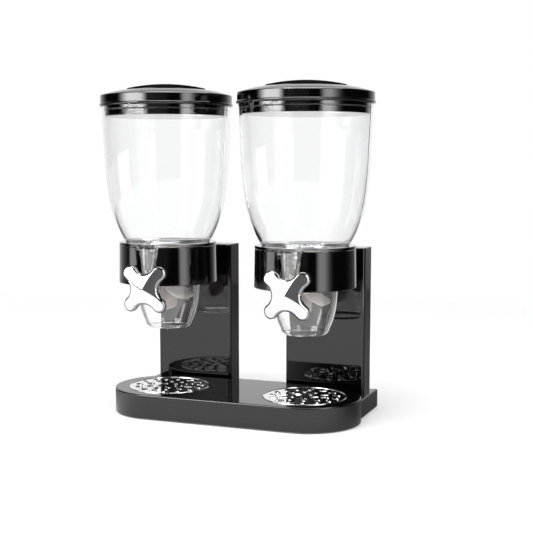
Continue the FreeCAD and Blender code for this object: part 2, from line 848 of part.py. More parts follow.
def make_collar(name, side):
    """A ring on a short neck that carries the hopper by its flange."""
    body = new_body(f"{name}_collar", HALF_SPACING * side, AXIS_Y, COLLAR_BOTTOM)
    foot_radius = dims.collar_radius + dims.collar_draft
    edge = dims.collar_edge_round
    section = new_sketch(body, "XZ_Plane", "section")
    outline(section, [
        (0, 0),
        (foot_radius - edge, 0),
        (foot_radius, edge, edge, "left"),
        (dims.collar_radius, dims.collar_rise - edge),
        (dims.collar_radius - edge, dims.collar_rise, edge, "left"),
        (0, dims.collar_rise),
    ])
    turned(body, "Revolution", section)

    neck_rise = COLUMN_TOP - COLLAR_BOTTOM
    neck = new_sketch(body, "XY_Plane", "neck")
    half = dims.neck_width / 2
    rectangle(neck, -half, half, 0, COLUMN_FRONT)
    pad(body, neck, neck_rise)
    add_neck_hollow(body, half, neck_rise)

    bore = new_sketch(body, "XY_Plane", "bore", dims.collar_floor)
    circle(bore, 0, 0, dims.collar_radius - dims.collar_wall)
    pocket(body, bore, dims.collar_rise, toward=-1)
    drop = new_sketch(body, "XY_Plane", "floor_hole")
    circle(drop, 0, 0, dims.bowl_radius + dims.collar_floor_gap)
    pocket(body, drop, dims.collar_rise, toward=-1)

    notch = new_sketch(body, "XZ_Plane", "notch")
    low = nose_half_width(COLLAR_BOTTOM) + dims.notch_clearance
    high = nose_half_width(COLLAR_TOP) + dims.notch_clearance
    outline(notch, [(-low, 0), (low, 0), (high, dims.collar_rise), (-high, dims.collar_rise)])
    pocket(body, notch, foot_radius * 2, toward=-1)
    return body


def add_neck_hollow(body, half, rise):
    """Hollow out the neck from its column side and leave two screw bosses in it."""
    wall = dims.neck_wall
    ring_front = dims.collar_radius - dims.collar_wall
    hollow = new_sketch(body, "XZ_Plane", "neck_hollow", -COLUMN_FRONT)
    rectangle(hollow, wall - half, half - wall, wall, rise - wall)
    pocket(body, hollow, COLUMN_FRONT - ring_front - wall, toward=-1)
    bosses = new_sketch(body, "XZ_Plane", "neck_bosses", -COLUMN_FRONT)
    holes = new_sketch(body, "XZ_Plane", "neck_holes", -COLUMN_FRONT)
    for across, up in arm_screw_places():
        circle(bosses, across, up - COLLAR_BOTTOM, dims.boss_radius)
        circle(holes, across, up - COLLAR_BOTTOM, SCREW_HOLE_RADIUS)
    pad(body, bosses, COLUMN_FRONT - ring_front)
    pocket(body, holes, dims.screw_length, toward=-1)


def make_collar_screws(name, side):
    """Screws that pass from inside the column into the collar's neck."""
    forward = FreeCAD.Vector(0, -1, 0)
    inside = AXIS_Y + COLUMN_FRONT + dims.column_wall
    return grouped(f"{name}_collar_screws", [
        screw(vector(HALF_SPACING * side + across, inside, up), forward)
        for across, up in arm_screw_places()
    ])


# ---------------------------------------------------------------- canister and hopper

def make_canister(name, side):
    """A clear thin-walled jar, open at its mouth and at its neck."""
    wall = dims.canister_wall
    lift = wall / 2
    outer = [
        (dims.rim_radius, CANISTER_TOP),
        (dims.shoulder_radius, SHOULDER_LEVEL),
        (dims.waist_radius, WAIST_LEVEL, dims.shoulder_curve_radius, "right"),
        (dims.heel_radius, HEEL_LEVEL, dims.waist_curve_radius, "right"),
        (dims.knee_radius, KNEE_LEVEL, dims.heel_curve_radius, "right"),
        (dims.neck_radius, NECK_LEVEL, dims.knee_curve_radius, "left"),
        (dims.neck_radius, NECK_SEAT),
    ]
    inner = [
        (dims.neck_radius - wall, NECK_SEAT),
        (dims.neck_radius - wall, NECK_LEVEL + lift),
        (dims.knee_radius - wall, KNEE_LEVEL + lift, dims.knee_curve_radius, "right"),
        (dims.heel_radius - wall, HEEL_LEVEL + lift, dims.heel_curve_radius, "left"),
        (dims.waist_radius - wall, WAIST_LEVEL + lift, dims.waist_curve_radius, "left"),
        (dims.shoulder_radius - wall, SHOULDER_LEVEL + lift, dims.shoulder_curve_radius, "left"),
        (RIM_BORE, CANISTER_TOP),
    ]
    return turned_body(f"{name}_canister", "XZ_Plane", outer + inner, HALF_SPACING * side, AXIS_Y)


def nose_outline(sketch, half_width, inset, back):
    """A trough section seen from above: a round front and straight sides that run back."""
    front = inset - dims.nose_reach
    half = half_width - inset
    outline(sketch, [
        (half, back),
        (-half, back),
        (-half, front + half),
        (0, front, half, "left"),
        (half, front + half, half, "left"),
    ])


def nose_loft(body, kind, name, inset, back, bottom):
    """Blend the nose's narrow lower section into its wide upper one."""
    sections = []
    for place, level in (("low", bottom), ("high", FLANGE_BOTTOM)):
        sketch = new_sketch(body, "XY_Plane", f"{name}_{place}", level)
        nose_outline(sketch, nose_half_width(level), inset, back)
        sections.append(sketch)
    loft = body.newObject(f"PartDesign::{kind}", f"{body.Label}_{name}")
    loft.Profile = sections[0]
    loft.Sections = [sections[1]]
    loft.Ruled = True
    return loft


def make_hopper(name, side):
    """The clear hopper: flange, funnel and bowl, with a nose in front that carries the shaft."""
    body = new_body(f"{name}_hopper", HALF_SPACING * side, AXIS_Y)
    wall = dims.hopper_wall
    gap = dims.funnel_gap
    bowl_top = dims.shaft_level + dims.bowl_top_rise
    bowl_shoulder = dims.shaft_level - dims.bowl_shoulder_drop
    bowl_heel = dims.shaft_level - dims.bowl_heel_drop
    bottom = dims.shaft_level - dims.bowl_depth
    lip = dims.outlet_radius + dims.bowl_lip_width

    skin = new_sketch(body, "XZ_Plane", "skin")
    outline(skin, [
        (0, FLANGE_TOP),
        (dims.collar_radius, FLANGE_TOP),
        (dims.collar_radius, FLANGE_BOTTOM),
        (FLANGE_BORE + wall, FLANGE_BOTTOM),
        (dims.knee_radius + gap + wall, KNEE_LEVEL - dims.hopper_sink,
         dims.heel_curve_radius, "right"),
        (dims.neck_radius + gap + wall, NECK_LEVEL - dims.hopper_sink,
         dims.knee_curve_radius, "left"),
        (dims.neck_radius + gap + wall, LEDGE_LEVEL - wall),
        (dims.bowl_radius, bowl_top),
        (dims.bowl_shoulder_radius, bowl_shoulder),
        (dims.bowl_heel_radius, bowl_heel, dims.bowl_curve_radius, "right"),
        (lip, bottom, dims.bowl_lip_round, "right"),
        (0, bottom),
    ])
    turned(body, "Revolution", skin)
    nose_bottom = dims.shaft_level - dims.nose_drop
    nose_loft(body, "AdditiveLoft", "nose", Size(0), -BEARING_REAR, nose_bottom)

    cavity = new_sketch(body, "XZ_Plane", "cavity")
    outline(cavity, [
        (0, FLANGE_TOP),
        (FLANGE_BORE, FLANGE_TOP),
        (dims.knee_radius + gap, KNEE_LEVEL, dims.heel_curve_radius, "right"),
        (dims.neck_radius + gap, NECK_LEVEL, dims.knee_curve_radius, "left"),
        (dims.neck_radius + gap, LEDGE_LEVEL),
        (THROAT_RADIUS, LEDGE_LEVEL),
        (dims.bowl_radius - wall, bowl_top),
        (dims.bowl_shoulder_radius - wall, bowl_shoulder),
        (dims.bowl_heel_radius - wall, bowl_heel, dims.bowl_curve_radius, "right"),
        (dims.outlet_radius, bottom),
        (0, bottom),
    ])
    turned(body, "Groove", cavity)
    just_inside_bowl = wall + wall / 2 - dims.bowl_radius
    nose_loft(body, "SubtractiveLoft", "nose_hollow", dims.nose_wall, just_inside_bowl,
              nose_bottom + dims.nose_wall)
    add_shaft_bearings(body)
    return body


def add_shaft_bearings(body):
    """The boss for the front bush and the blind bearing for the shaft's rear end."""
    boss_radius = BUSH_RADIUS + dims.bush_fit + dims.nose_wall
    front = new_sketch(body, "XZ_Plane", "front_boss", dims.nose_reach)
    circle(front, 0, dims.shaft_level, boss_radius)
    pad(body, front, dims.bush_length, toward=-1)
    front_bore = new_sketch(body, "XZ_Plane", "front_bore", dims.nose_reach)
    circle(front_bore, 0, dims.shaft_level, BUSH_RADIUS + dims.bush_fit)
    pocket(body, front_bore, dims.bush_length)

    rear = new_sketch(body, "XZ_Plane", "rear_boss", -BEARING_REAR)
    circle(rear, 0, dims.shaft_level, BEARING_BORE + dims.bearing_wall)
    pad(body, rear, dims.bearing_length)
    rear_bore = new_sketch(body, "XZ_Plane", "rear_bore", -BEARING_MOUTH)
    circle(rear_bore, 0, dims.shaft_level, BEARING_BORE)
    pocket(body, rear_bore, dims.bearing_bore_depth)


# ---------------------------------------------------------------- drive

def make_bush(name, side):
    """A flanged plain bush that is pressed into the nose from the front."""
    front = -dims.nose_reach
    bore = BEARING_BORE
    return turned_body(f"{name}_shaft_bush", "XY_Plane", [
        (bore, front - dims.bush_flange),
        (BUSH_RADIUS + dims.nose_wall / 2, front - dims.bush_flange),
        (BUSH_RADIUS + dims.nose_wall / 2, front),
        (BUSH_RADIUS, front),
        (BUSH_RADIUS, front + dims.bush_length),
        (bore, front + dims.bush_length),
    ], HALF_SPACING * side, AXIS_Y, dims.shaft_level)


def make_shaft(name, side):
    """A round shaft with two flats where the wheel and the knob grip it."""
    body = new_body(f"{name}_drive_shaft", HALF_SPACING * side, AXIS_Y, dims.shaft_level)
    front = dims.shaft_end_gap - KNOB_BACK - dims.knob_socket_depth
    rear = BEARING_MOUTH + dims.bearing_bore_depth - dims.shaft_end_gap
    radius = dims.shaft_radius
    chamfer = dims.shaft_radius - dims.shaft_flat
    section = new_sketch(body, "XY_Plane", "section")
    outline(section, [
        (0, front),
        (radius - chamfer, front),
        (radius, front + chamfer),
        (radius, rear - chamfer),
        (radius - chamfer, rear),
        (0, rear),
    ])
    turned(body, "Revolution", section)
    flats = new_sketch(body, "YZ_Plane", "flats")
    grips = ((front, -KNOB_BACK), (-dims.hub_length / 2, dims.hub_length / 2))
    for start, finish in grips:
        rectangle(flats, start, finish, dims.shaft_flat, radius * 2)
        rectangle(flats, start, finish, radius * -2, -dims.shaft_flat)
    pocket(body, flats, symmetric=True)
    return body


def flat_sided_hole(sketch):
    """The outline of the shaft's flatted grip, with its fit."""
    radius = dims.shaft_radius + dims.drive_fit
    flat = dims.shaft_flat + dims.drive_fit
    half = root(radius * radius - flat * flat)
    outline(sketch, [
        (half, -flat),
        (half, flat, radius, "left"),
        (-half, flat),
        (-half, -flat, radius, "left"),
    ])


def make_wheel(name, side):
    """A soft paddle wheel: round-cornered vanes around a hub that runs from front to back."""
    body = new_body(f"{name}_paddle_wheel", HALF_SPACING * side, AXIS_Y, dims.shaft_level)
    hub = new_sketch(body, "XZ_Plane", "hub")
    circle(hub, 0, 0, dims.hub_radius)
    pad(body, hub, dims.hub_length, symmetric=True)
    half = dims.vane_length / 2
    reach = dims.vane_reach
    corner = dims.vane_corner
    vane = new_sketch(body, "YZ_Plane", "vane")
    outline(vane, [
        (-half, dims.hub_radius / 2),
        (half, dims.hub_radius / 2),
        (half, reach - corner),
        (half - corner, reach, corner, "left"),
        (corner - half, reach),
        (-half, reach - corner, corner, "left"),
    ])
    blade = pad(body, vane, dims.vane_thickness, symmetric=True)
    round_pattern(body, blade, "Y_Axis", VANE_COUNT)
    bore = new_sketch(body, "XZ_Plane", "bore")
    flat_sided_hole(bore)
    pocket(body, bore, symmetric=True)
    return body


def lobe_outline(sketch):
    """Round lobes on the sketch's two axes, joined by hollow waists on its diagonals."""
    lobe = dims.knob_lobe_radius
    place = dims.knob_lobe_place
    diagonal = math.sqrt(0.5)
    across = place * diagonal
    spare = dims.knob_waist - across
    waist = (across * across + spare * spare - lobe * lobe) / (2 * (lobe - spare))
    centre = (dims.knob_waist + waist) * diagonal
    share = lobe / (lobe + waist)
    near_side = place + (centre - place) * share
    far_side = centre * share
    quarter = [(near_side, far_side), (far_side, near_side)]
    corners = []
    for turn in range(LOBE_COUNT):
        rotation = FreeCAD.Rotation(FreeCAD.Vector(0, 0, 1), 360 / LOBE_COUNT * turn)
        cosine = round(rotation.multVec(FreeCAD.Vector(1, 0, 0)).x)
        sine = round(rotation.multVec(FreeCAD.Vector(1, 0, 0)).y)
        tip = (place + lobe) * cosine, (place + lobe) * sine
        first, second = [(a * cosine - b * sine, a * sine + b * cosine) for a, b in quarter]
        corners.append(tip + (lobe, "left"))
        corners.append(first + (lobe, "left"))
        corners.append(second + (waist, "right"))
    outline(sketch, corners)


def make_knob(name, side):
    """A four-lobed knob whose front is four sloping facets, twisted against the lobes."""
    body = new_body(f"{name}_knob", HALF_SPACING * side, AXIS_Y - KNOB_BACK, dims.shaft_level)
    half_step = 180 / LOBE_COUNT
    plan = new_sketch(body, "XZ_Plane", "plan",
                      turn=FreeCAD.Rotation(FreeCAD.Vector(0, 0, 1), half_step))
    lobe_outline(plan)
    pad(body, plan, dims.knob_thickness)
    reach = dims.knob_lobe_place + dims.knob_lobe_radius * 2
    thickness = dims.knob_thickness
    twist = FreeCAD.Rotation(FreeCAD.Vector(0, 1, 0), half_step + KNOB_TWIST_DEGREES)
    facet = new_sketch(body, "XY_Plane", "facet", turn=twist)
    outline(facet, [
        (0, -thickness),
        (reach, -thickness - dims.knob_facet_drop),
        (reach, dims.knob_facet_drop - thickness),
    ])
    sloped = pocket(body, facet, symmetric=True)
    faceted = round_pattern(body, sloped, "Y_Axis", LOBE_COUNT)
    ridged = soften(body, faceted, dims.knob_ridge_round, meets_axis)
    soften(body, ridged, dims.knob_edge_round, lambda edge: not inside_waist(edge))
    socket = new_sketch(body, "XZ_Plane", "socket")
    flat_sided_hole(socket)
    pocket(body, socket, dims.knob_socket_depth, toward=-1)
    return body


def meets_axis(edge):
    """Whether an edge of the knob is one of the ridges that start at its front's middle."""
    return any(math.hypot(vertex.X, vertex.Z) < NEAR_ENOUGH for vertex in edge.Vertexes)


def inside_waist(edge):
    """Whether an edge lies wholly on the knob's front, clear of its rim."""
    box = edge.BoundBox
    farthest = max(math.hypot(across, up) for across in (box.XMin, box.XMax)
                   for up in (box.ZMin, box.ZMax))
    return farthest < dims.knob_waist.number


# ---------------------------------------------------------------- lid

def cap_curve(reach, rise):
    """Radius of the arc that is level at its middle and falls by rise within reach."""
    return (reach * reach + rise * rise) / (rise * 2)


def make_lid_cap(name, side):
    """The lid's outer shell: a skirt with a bead, a band, a dome and a raised disc on top."""
    wall = dims.lid_wall
    band = dims.lid_radius - dims.lid_bead_width
    skirt = dims.lid_radius - wall
    turn = dims.lid_band_round
    bead = dims.lid_bead_height / 2
    bead_curve = cap_curve(bead, dims.lid_bead_width)
    edge = dims.disc_edge_round
    disc_wall_top = dims.disc_foot_rise + dims.disc_wall_rise
    disc_top = disc_wall_top + edge
    crown = cap_curve(dims.disc_radius - edge, dims.lid_rise - disc_top)
    roof = cap_curve(dims.disc_radius - wall, dims.lid_rise - disc_top)
    return turned_body(f"{name}_lid_cap", "XZ_Plane", [
        (0, dims.lid_rise),
        (dims.disc_radius - edge, disc_top, crown, "right"),
        (dims.disc_radius, disc_wall_top, edge, "right"),
        (dims.disc_radius, dims.disc_foot_rise),
        (band - turn, dims.lid_band_top, dims.dome_curve_radius, "right"),
        (band, dims.lid_band_top - turn, turn, "right"),
        (band, bead * 2 - dims.lid_skirt_drop),
        (dims.lid_radius, bead - dims.lid_skirt_drop, bead_curve, "right"),
        (band, -dims.lid_skirt_drop, bead_curve, "right"),
        (skirt, -dims.lid_skirt_drop),
        (skirt, dims.lid_band_top - wall),
        (dims.disc_radius - wall, dims.disc_foot_rise - wall, dims.dome_curve_radius, "left"),
        (dims.disc_radius - wall, disc_top - wall),
        (0, dims.lid_rise - wall, roof, "left"),
    ], HALF_SPACING * side, AXIS_Y, LID_LEVEL)


def make_lid_plug(name, side):
    """The cup under the lid that reaches into the canister and carries the seal."""
    inner = PLUG_RADIUS - dims.plug_wall
    groove = PLUG_RADIUS - dims.seal_bite
    flange = dims.lid_radius - dims.lid_wall - dims.plug_flange_gap
    upper = dims.seal_width / 2 - dims.seal_depth
    lower = upper - dims.seal_width
    return turned_body(f"{name}_lid_plug", "XZ_Plane", [
        (inner, dims.plug_flange),
        (flange, dims.plug_flange),
        (flange, 0),
        (PLUG_RADIUS, 0),
        (PLUG_RADIUS, upper),
        (groove, upper),
        (groove, lower),
        (PLUG_RADIUS, lower),
        (PLUG_RADIUS, -dims.plug_drop),
        (0, -dims.plug_drop),
        (0, dims.plug_floor - dims.plug_drop),
        (inner, dims.plug_floor - dims.plug_drop),
    ], HALF_SPACING * side, AXIS_Y, LID_LEVEL)


def make_lid_seal(name, side):
    """A soft ring in the plug's groove that bulges out towards the canister's wall."""
    half = dims.seal_width / 2
    curve = cap_curve(half, SEAL_RADIUS - PLUG_RADIUS)
    groove = PLUG_RADIUS - dims.seal_bite
    return turned_body(f"{name}_lid_seal", "XZ_Plane", [
        (groove, -half),
        (PLUG_RADIUS, -half),
        (SEAL_RADIUS, 0, curve, "left"),
        (PLUG_RADIUS, half, curve, "left"),
        (groove, half),
    ], HALF_SPACING * side, AXIS_Y, LID_LEVEL - dims.seal_depth)


# ---------------------------------------------------------------- whole dispenser

STATION_PIECES = (
    make_column,
    make_column_cover,
    make_cover_screws,
    make_column_screws,
    make_collar,
    make_collar_screws,
    make_tray,
    make_hopper,
    make_bush,
    make_shaft,
    make_wheel,
    make_knob,
    make_canister,
    make_lid_cap,
    make_lid_plug,
    make_lid_seal,
)


def make_dispenser():
    pieces = [make_base_shell(), make_base_plate(), make_feet(), make_base_screws()]
    for name, side in SIDES.items():
        for make_piece in STATION_PIECES:
            pieces.append(make_piece(name, side))
    return pieces


def check_document():
    doc.recompute()
    for item in doc.Objects:
        if {"Invalid", "Error"} & set(item.State):
            raise RuntimeError(f"{item.Label} could not be built: {item.State}")


def write_pieces(pieces):
    os.makedirs("parts", exist_ok=True)
    for piece in pieces:
        shape = piece.Shape
        if shape.isNull() or not shape.isValid() or not shape.Solids:
            raise RuntimeError(f"{piece.Label} has no valid solid")
    for piece in pieces:
        piece.Shape.exportStep(f"parts/{piece.Label}.step")


dispenser = make_dispenser()
check_document()
write_pieces(dispenser)
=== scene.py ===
import bpy
import json
import math
from mathutils import Matrix, Vector


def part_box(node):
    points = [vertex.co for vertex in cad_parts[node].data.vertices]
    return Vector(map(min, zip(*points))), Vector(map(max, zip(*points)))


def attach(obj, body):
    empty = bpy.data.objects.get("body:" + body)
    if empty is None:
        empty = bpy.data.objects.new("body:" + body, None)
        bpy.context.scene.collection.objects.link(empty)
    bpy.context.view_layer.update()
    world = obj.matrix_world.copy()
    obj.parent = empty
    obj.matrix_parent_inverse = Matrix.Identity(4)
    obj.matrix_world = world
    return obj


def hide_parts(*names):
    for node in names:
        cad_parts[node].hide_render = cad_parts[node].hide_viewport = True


# Twin gravity dispenser for dry food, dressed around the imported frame. Metres, +Z up, -Y front.

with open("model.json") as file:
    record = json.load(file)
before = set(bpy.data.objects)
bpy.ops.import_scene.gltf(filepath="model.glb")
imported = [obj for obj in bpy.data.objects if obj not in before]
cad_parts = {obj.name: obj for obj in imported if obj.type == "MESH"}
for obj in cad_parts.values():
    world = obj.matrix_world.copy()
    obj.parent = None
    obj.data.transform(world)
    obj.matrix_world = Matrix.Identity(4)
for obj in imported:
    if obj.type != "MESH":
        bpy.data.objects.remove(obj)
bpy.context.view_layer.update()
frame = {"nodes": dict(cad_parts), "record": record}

MILLIMETRE = 0.001
SIDES = ("left", "right")

# The two stations, each an upright stack of tray, hopper, canister and lid.
STATION_Y = sum(corner.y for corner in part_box("left_canister")) / 2
STATION_X = sum(corner.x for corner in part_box("right_canister")) / 2
COLLAR_FOOT, COLLAR_TOP = [corner.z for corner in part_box("left_collar")]
LID_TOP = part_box("left_lid_cap")[1].z

# A hopper's nose starts this far in front of the station's axis and below the collar's top.
NOSE_START = 0.044
NOSE_START_DROP = 0.002

# The raised disc on a lid.
DISC_RADIUS = 0.0465
DISC_DEPTH = 0.0068

# How slanted a bowl's wall looks where a painted highlight starts to turn it pale and where it is
# palest, and the share of white there.
BOWL_HIGHLIGHT_SLANT = (0.55, 0.9)
BOWL_HIGHLIGHT_SHARE = 0.9

# Y of the normal, which is -1 straight ahead, over which the painted shade that darkens a knob's
# rim starts and stops.
KNOB_RIM_SHADE_START = (-0.95, -0.88)
KNOB_RIM_SHADE_STOP = (-0.3, -0.5)


# ---------------------------------------------------------------- materials

class Shader:
    """A node tree, of a new material unless one is given, and short calls for the nodes in it."""

    def __init__(self, name=None, tree=None):
        self.material = None
        if tree is None:
            self.material = bpy.data.materials.new(name)
            self.material.use_nodes = True
            tree = self.material.node_tree
        self.tree = tree
        self.tree.nodes.clear()

    def add(self, kind, inputs=None, **settings):
        """A node of a kind, with values or links for its inputs and with its settings."""
        node = self.tree.nodes.new(f"ShaderNode{kind}")
        for key, value in settings.items():
            setattr(node, key, value)
        for key, value in (inputs or {}).items():
            self.feed(node.inputs[key], value)
        return node

    def feed(self, socket, value):
        """Link a socket to another one or set its value."""
        if isinstance(value, bpy.types.NodeSocket):
            self.tree.links.new(value, socket)
        else:
            socket.default_value = value

    def place(self, scale=(1, 1, 1)):
        """Object coordinates in millimetres, stretched by scale."""
        factors = tuple(part / MILLIMETRE for part in scale)
        return self.add("VectorMath", {0: self.spot(), 1: factors}, operation="MULTIPLY").outputs[0]

    def noise(self, period, detail=2.0, scale=(1, 1, 1), roughness=0.5):
        """Noise whose main features are about one period apart, in millimetres."""
        return self.add("TexNoise", {
            "Vector": self.place(scale), "Scale": 1 / period, "Detail": detail,
            "Roughness": roughness,
        }).outputs["Fac"]

    def spread(self, value, low, high, start=0.0, finish=1.0, smooth=False):
        """Map value from the range low to high onto start to finish."""
        node = self.add("MapRange", {
            "Value": value, "From Min": low, "From Max": high, "To Min": start, "To Max": finish,
        })
        node.interpolation_type = "SMOOTHSTEP" if smooth else "LINEAR"
        return node.outputs["Result"]

    def math(self, operation, first, second=0.0):
        """The result of a sum, product or comparison of two numbers."""
        return self.add("Math", {0: first, 1: second}, operation=operation).outputs[0]

    def mix_colour(self, share, first, second):
        """A mix of two colours, all second where share is 1."""
        node = self.add("Mix", data_type="RGBA")
        self.feed(node.inputs["Factor"], share)
        for socket, value in zip([s for s in node.inputs if s.type == "RGBA"], (first, second)):
            self.feed(socket, value)
        return next(s for s in node.outputs if s.type == "RGBA")

    def bump(self, height, depth, strength=1.0):
        """Relief of a height map whose full range is depth millimetres."""
        return self.add("Bump", {
            "Height": height, "Distance": depth * MILLIMETRE, "Strength": strength,
        }).outputs["Normal"]

    def axes(self, vector):
        """The X, Y and Z parts of a vector."""
        return self.add("SeparateXYZ", {0: vector}).outputs

    def spot(self):
        """The shaded point in the object's own coordinates, in metres."""
        return self.add("TexCoord").outputs["Object"]

    def glow(self, strength):
        """White light of a strength."""
        return self.add("Emission", {"Color": grey(1.0), "Strength": strength})

    def added(self, first, second):
        """The light of two surfaces together."""
        both = self.add("AddShader")
        for number, surface in enumerate((first, second)):
            self.tree.links.new(surface.outputs[0], both.inputs[number])
        return both

    def blended(self, share, first, second):
        """A mix of two surfaces, all second where share is 1."""
        mixed = self.add("MixShader", {"Fac": share})
        for number, surface in enumerate((first, second), start=1):
            self.tree.links.new(surface.outputs[0], mixed.inputs[number])
        return mixed

    def finish(self, surface, kind="OutputMaterial"):
        """Show a surface, and return the material if there is one."""
        output = self.add(kind)
        self.tree.links.new(surface.outputs[0], output.inputs["Surface"])
        return self.material


def grey(level):
    return (level, level, level, 1.0)


def scratches(shader, period, coverage, scale):
    """Fine hairlines: 1 on a scratch, 0 elsewhere."""
    field = shader.noise(period, detail=1.0, scale=scale)
    away = shader.math("ABSOLUTE", shader.math("SUBTRACT", field, 0.5))
    return shader.spread(away, 0.0, coverage, 1.0, 0.0, smooth=True)


def near_axis(shader, axis_x, radius):
    """1 within a radius of a station's upright axis."""
    offset = shader.add("VectorMath", {0: shader.spot(), 1: (axis_x, STATION_Y, 0)},
                        operation="SUBTRACT")
    level = shader.add("VectorMath", {0: offset.outputs[0], 1: (1, 1, 0)}, operation="MULTIPLY")
    away = shader.add("VectorMath", {0: level.outputs[0]}, operation="LENGTH").outputs["Value"]
    return shader.math("LESS_THAN", away, radius)


def black_gloss():
    """High-gloss black moulding, satin on the raised discs of the lids, with a trace of dust."""
    shader = Shader("black_gloss")
    height = shader.axes(shader.spot())["Z"]
    satin = shader.math("MULTIPLY", shader.math("GREATER_THAN", height, LID_TOP - DISC_DEPTH),
                        shader.math("MAXIMUM", near_axis(shader, -STATION_X, DISC_RADIUS),
                                    near_axis(shader, STATION_X, DISC_RADIUS)))
    smudge = shader.noise(38.0, detail=4.0, roughness=0.6)
    wipe = scratches(shader, 5.0, 0.012, (1.0, 0.09, 0.6))
    rough = shader.math("ADD", shader.spread(smudge, 0.35, 0.75, 0.035, 0.075),
                        shader.math("MULTIPLY", wipe, 0.03))
    upward = shader.axes(shader.add("NewGeometry").outputs["Normal"])["Z"]
    specks = shader.spread(shader.noise(0.7, detail=0.0), 0.76, 0.80, smooth=True)
    dust = shader.math("MULTIPLY", specks, shader.spread(upward, 0.6, 1.0, 0.0, 0.35))
    skin = shader.mix_colour(satin, grey(0.0016), grey(0.006))
    colour = shader.mix_colour(dust, skin, grey(0.20))
    rough = shader.math("MAXIMUM", rough, shader.math("MULTIPLY", satin, 0.4))
    ripple = shader.bump(shader.noise(14.0, detail=1.0), 0.004)
    return shader.finish(shader.add("BsdfPrincipled", {
        "Base Color": colour, "Roughness": rough, "IOR": 1.5, "Normal": ripple,
        "Specular IOR Level": shader.spread(satin, 0.0, 1.0, 0.5, 0.0),
    }))


def black_grain():
    """Black moulding with a fine spark-eroded grain."""
    shader = Shader("black_grain")
    grain = shader.noise(0.55, detail=3.0, roughness=0.7)
    tone = shader.spread(shader.noise(22.0, detail=3.0), 0.3, 0.7)
    return shader.finish(shader.add("BsdfPrincipled", {
        "Base Color": shader.mix_colour(tone, grey(0.013), grey(0.021)),
        "Roughness": shader.spread(grain, 0.3, 0.7, 0.42, 0.6),
        "IOR": 1.5,
        "Normal": shader.bump(grain, 0.05, 0.6),
    }))


def clear_plastic():
    """Clear moulding, hazy in the noses, with a painted highlight that turns the bowls' edges pale.
    Lamps shine through.
    """
    shader = Shader("clear_plastic")
    wave = shader.noise(46.0, detail=1.0, scale=(1.0, 1.0, 0.3))
    smudge = shader.noise(30.0, detail=4.0, roughness=0.6)
    spot = shader.axes(shader.spot())
    front = shader.math("LESS_THAN", spot["Y"], STATION_Y - NOSE_START)
    under = shader.math("LESS_THAN", spot["Z"], COLLAR_TOP - NOSE_START_DROP)
    nose = shader.math("MULTIPLY", front, under)
    clear = shader.add("BsdfPrincipled", {
        "Base Color": (0.995, 0.998, 0.999, 1.0),
        "Roughness": shader.spread(smudge, 0.45, 0.8, 0.006, 0.018),
        "IOR": 1.49,
        "Transmission Weight": shader.spread(nose, 0.0, 1.0, 1.0, 0.88),
        "Specular Tint": shader.spread(under, 0.0, 1.0, 0.5, 1.0),
        "Normal": shader.bump(wave, 0.004),
    })
    # Painted highlight: below the collar, where a wall is seen edge-on, the plastic turns pale grey
    # diffuse.
    below = shader.math("LESS_THAN", spot["Z"], COLLAR_FOOT)
    slant = shader.add("LayerWeight", {"Blend": 0.5}).outputs["Facing"]
    edge = shader.math("MULTIPLY", below, shader.spread(
        slant, *BOWL_HIGHLIGHT_SLANT, 0.0, BOWL_HIGHLIGHT_SHARE, smooth=True))
    body = shader.blended(edge, clear, shader.add("BsdfDiffuse", {"Color": grey(0.9)}))
    open_way = shader.add("BsdfTransparent", {"Color": grey(0.96)})
    lamp = shader.add("LightPath").outputs["Is Shadow Ray"]
    return shader.finish(shader.blended(lamp, body, open_way))


def silicone():
    """Milky soft silicone that glows a little where light comes through."""
    shader = Shader("silicone")
    cloud = shader.noise(9.0, detail=3.0)
    skin = shader.noise(1.1, detail=2.0)
    return shader.finish(shader.add("BsdfPrincipled", {
        "Base Color": shader.mix_colour(cloud, (0.80, 0.74, 0.70, 1.0), (0.86, 0.81, 0.77, 1.0)),
        "Roughness": shader.spread(skin, 0.3, 0.7, 0.32, 0.44),
        "IOR": 1.41,
        "Transmission Weight": 0.5,
        "Normal": shader.bump(skin, 0.015, 0.5),
    }))


def seal_rubber():
    """Dark satin silicone of the lids' rings."""
    shader = Shader("seal_rubber")
    skin = shader.noise(0.8, detail=2.0)
    return shader.finish(shader.add("BsdfPrincipled", {
        "Base Color": shader.mix_colour(skin, grey(0.03), grey(0.045)),
        "Roughness": shader.spread(skin, 0.3, 0.7, 0.35, 0.5),
        "IOR": 1.41,
        "Normal": shader.bump(skin, 0.01, 0.5),
    }))


def foot_rubber():
    """Dull black rubber."""
    shader = Shader("foot_rubber")
    skin = shader.noise(0.6, detail=4.0, roughness=0.7)
    return shader.finish(shader.add("BsdfPrincipled", {
        "Base Color": shader.mix_colour(skin, grey(0.02), grey(0.035)),
        "Roughness": shader.spread(skin, 0.3, 0.7, 0.6, 0.8),
        "Normal": shader.bump(skin, 0.04, 0.7),
    }))


def chrome():
    """Mirror plating with the slight unevenness of plated plastic, and painted shade that darkens
    the knobs' rims.
    """
    shader = Shader("chrome")
    smudge = shader.noise(16.0, detail=4.0, roughness=0.6)
    swirl = scratches(shader, 3.2, 0.01, (0.5, 1.0, 0.12))
    rough = shader.math("ADD", shader.spread(smudge, 0.4, 0.8, 0.02, 0.055),
                        shader.math("MULTIPLY", swirl, 0.04))
    # Painted shade: the plating colour turns dark grey on the knobs' rims, set by which way the
    # surface faces.
    facing = shader.axes(shader.add("TexCoord").outputs["Normal"])["Y"]
    rim = shader.math("MULTIPLY", shader.spread(facing, *KNOB_RIM_SHADE_START, smooth=True),
                      shader.spread(facing, *KNOB_RIM_SHADE_STOP, smooth=True))
    plate = shader.mix_colour(smudge, (0.61, 0.62, 0.63, 1.0), (0.65, 0.655, 0.66, 1.0))
    return shader.finish(shader.add("BsdfPrincipled", {
        "Base Color": shader.mix_colour(rim, plate, grey(0.24)),
        "Metallic": 1.0,
        "Roughness": rough,
        "Normal": shader.bump(shader.noise(9.0, detail=1.0), 0.012),
    }))


